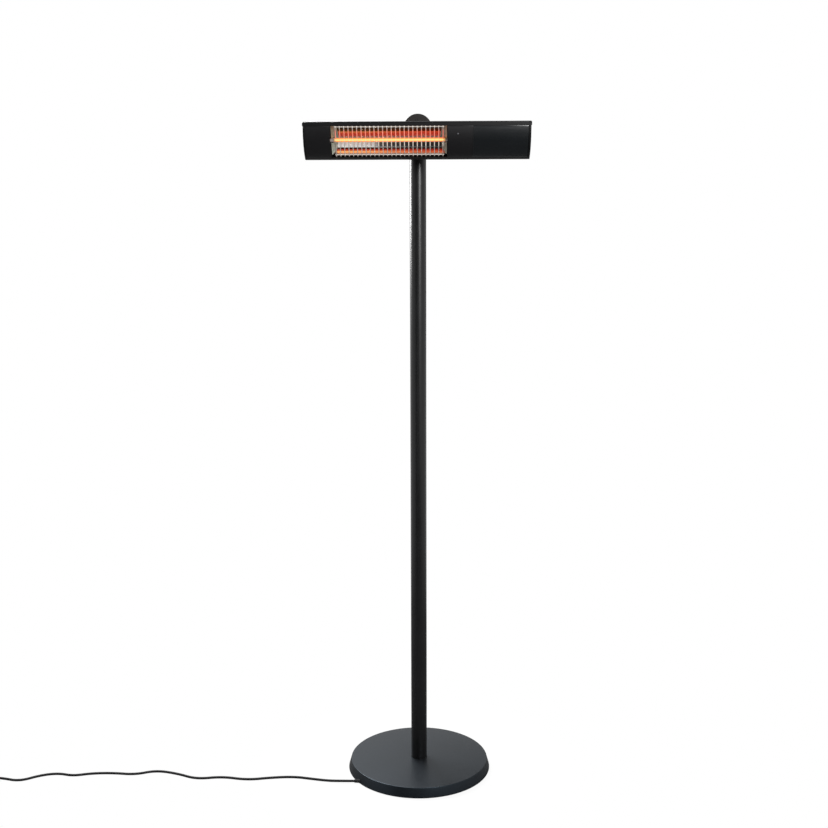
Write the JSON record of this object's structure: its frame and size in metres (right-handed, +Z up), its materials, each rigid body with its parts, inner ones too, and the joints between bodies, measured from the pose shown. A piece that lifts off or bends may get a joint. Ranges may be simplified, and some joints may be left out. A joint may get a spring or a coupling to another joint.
{
  "type": "infrared patio heater",
  "caption": "Free-standing patio heater: round weighted base, tall pole and a long tilting head with a quartz lamp behind a wire guard, with its supply cord and plug.",
  "frame": {"origin": "on the floor, below the middle of the pole", "axes": "+Z up along the pole, the heater faces -Y, +X is its right-hand end seen from the front"},
  "size_m": [1.7151, 0.407, 1.8445],
  "materials": {
    "base_paint": "satin",
    "weight_iron": "rough",
    "foot_rubber": "matte",
    "pole_paint": "satin",
    "joint_paint": "satin",
    "steel": "zinc plated",
    "head_paint": "matte",
    "panel_plastic": "fine grain",
    "cover_plastic": "polished",
    "switch_plastic": "smooth",
    "mirror_metal": "bright rolled",
    "quartz": "clear",
    "glow": "glowing",
    "holder_ceramic": "unglazed",
    "guard_wire": "bright",
    "board": "coated",
    "lens": "clear dark",
    "relay_case": "smooth",
    "terminal_plastic": "smooth",
    "bush_brass": "plain",
    "cord_rubber": "satin"
  },
  "bodies": {
    "stand": {"base_cover": "base_paint", "base_weight": "weight_iron", "base_feet": "foot_rubber", "pole_flange": "steel", "flange_screws": "steel", "cord_relief": "cord_rubber", "pole": "pole_paint", "pole_head": "joint_paint", "pole_screw": "steel", "lead_grommet": "cord_rubber", "mount_disc": "joint_paint", "tilt_fork": "joint_paint", "disc_screws": "steel", "pivot_bush": "bush_brass", "pole_lead": "cord_rubber", "cord": "cord_rubber", "cord_coil": "cord_rubber", "plug_body": "cord_rubber", "plug_pins": "bush_brass"},
    "head": {"tilt_barrel": "joint_paint", "pivot_bolt": "steel", "friction_washer": "steel", "lug_screws": "steel", "housing": "head_paint", "end_cap_left": "panel_plastic", "end_cap_right": "panel_plastic", "end_cap_screws": "steel", "front_panel_left": "panel_plastic", "front_panel_right": "panel_plastic", "control_cover": "cover_plastic", "status_lens": "lens", "sensor_board": "board", "reflector": "mirror_metal", "reflector_end_left": "mirror_metal", "reflector_end_right": "mirror_metal", "reflector_brackets": "steel", "lamp_tube": "quartz", "lamp_filament": "glow", "lamp_caps": "holder_ceramic", "lamp_holder_left": "holder_ceramic", "lamp_holder_right": "holder_ceramic", "holder_brackets": "steel", "wire_guard": "guard_wire", "divider_plate": "board", "control_board": "board", "board_pillars": "steel", "relay": "relay_case", "terminal_block": "terminal_plastic", "head_lead": "cord_rubber", "lamp_leads": "cord_rubber", "switch_body": "switch_plastic"},
    "rocker": {"rocker": "switch_plastic"}
  },
  "joints": [
    {"name": "head_tilt", "type": "hinge", "parent": "stand", "child": "head", "pos_m": [0, -0.06, 1.8043], "axis": [1, 0, 0], "range_deg": [-30, 25]},
    {"name": "switch_rock", "type": "hinge", "parent": "head", "child": "rocker", "pos_m": [0.29, -0.11023, 1.7753], "axis": [0, 0.866, 0.5], "range_deg": [0, 22]}
  ]
}
